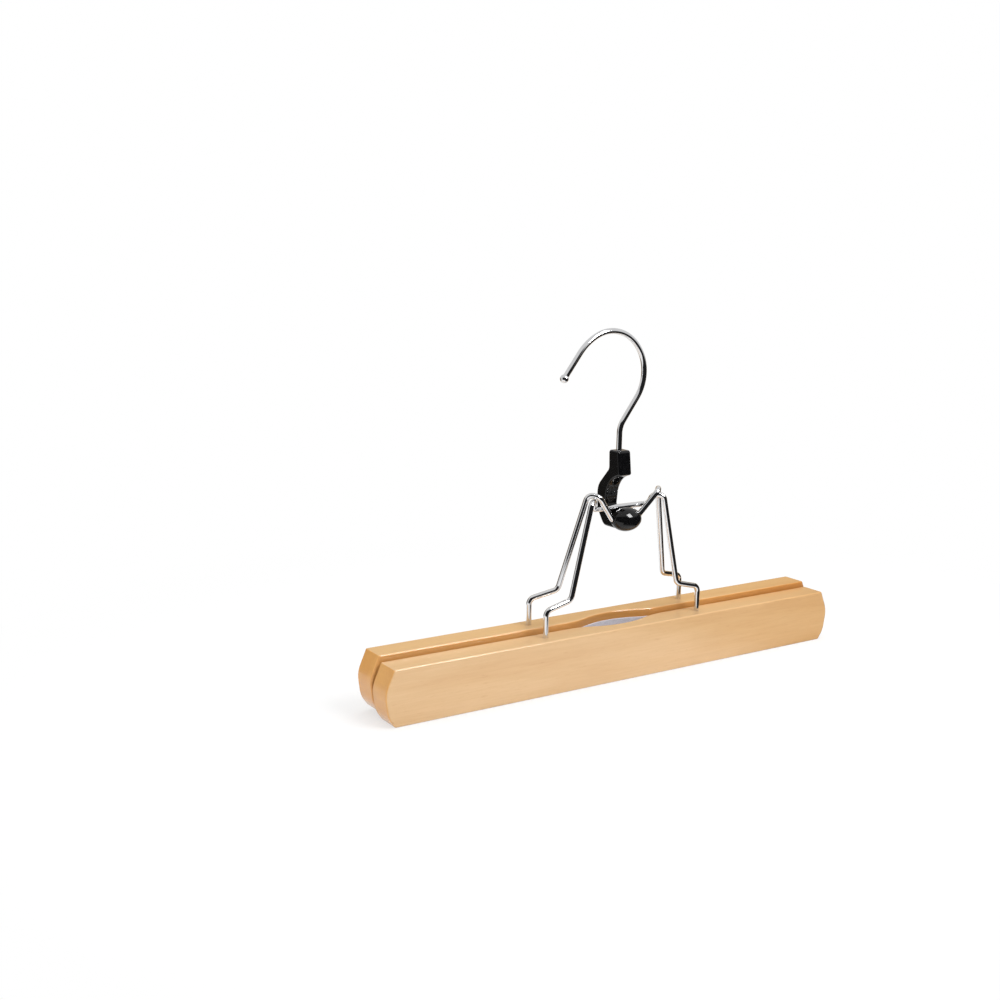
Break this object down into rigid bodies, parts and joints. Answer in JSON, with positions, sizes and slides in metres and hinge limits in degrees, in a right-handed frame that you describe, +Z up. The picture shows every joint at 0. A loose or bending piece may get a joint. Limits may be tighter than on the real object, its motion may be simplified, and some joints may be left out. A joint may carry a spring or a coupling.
{
  "type": "skirt hanger",
  "caption": "Clamp hanger for skirts and trousers: felt-lined wooden bars on bent chrome wire frames, closed by a black cam lever that carries a swivel hook.",
  "frame": {"origin": "on the surface that the front bar stands on, below the middle of the bars", "axes": "+X along the bars, +Y from the front bar to the back bar, +Z up to the hook"},
  "size_m": [0.2798, 0.0284, 0.176],
  "materials": {
    "lacquered_wood": "pale wood under clear satin lacquer",
    "felt": "pressed light grey felt",
    "chromed_wire": "bright chrome plate on steel wire",
    "black_plastic": "glossy black moulding",
    "washer_steel": "plain steel"
  },
  "bodies": {
    "front_jaw": {"front_bar": "lacquered_wood", "front_felt": "felt", "front_wire_frame": "chromed_wire"},
    "back_jaw": {"back_bar": "lacquered_wood", "back_felt": "felt", "back_wire_frame": "chromed_wire"},
    "lever": {"cam_lever": "black_plastic"},
    "hook": {"hook": "chromed_wire", "hook_washer": "washer_steel"}
  },
  "joints": [
    {"name": "jaw_open", "type": "hinge", "parent": "front_jaw", "child": "back_jaw", "pos_m": [0, -0.0056, 0.0934], "axis": [1, 0, 0], "range_deg": [0, 11]},
    {"name": "lever_swing", "type": "hinge", "parent": "back_jaw", "child": "lever", "pos_m": [0, -0.005, 0.0813], "axis": [1, 0, 0], "range_deg": [0, 44]},
    {"name": "hook_swivel", "type": "hinge", "parent": "lever", "child": "hook", "pos_m": [0, 0.0016, 0.1094], "axis": [0, 0, 1], "continuous": true}
  ],
  "couplings": [
    {"joint": "lever_swing", "follows": "jaw_open", "ratio": 4}
  ]
}
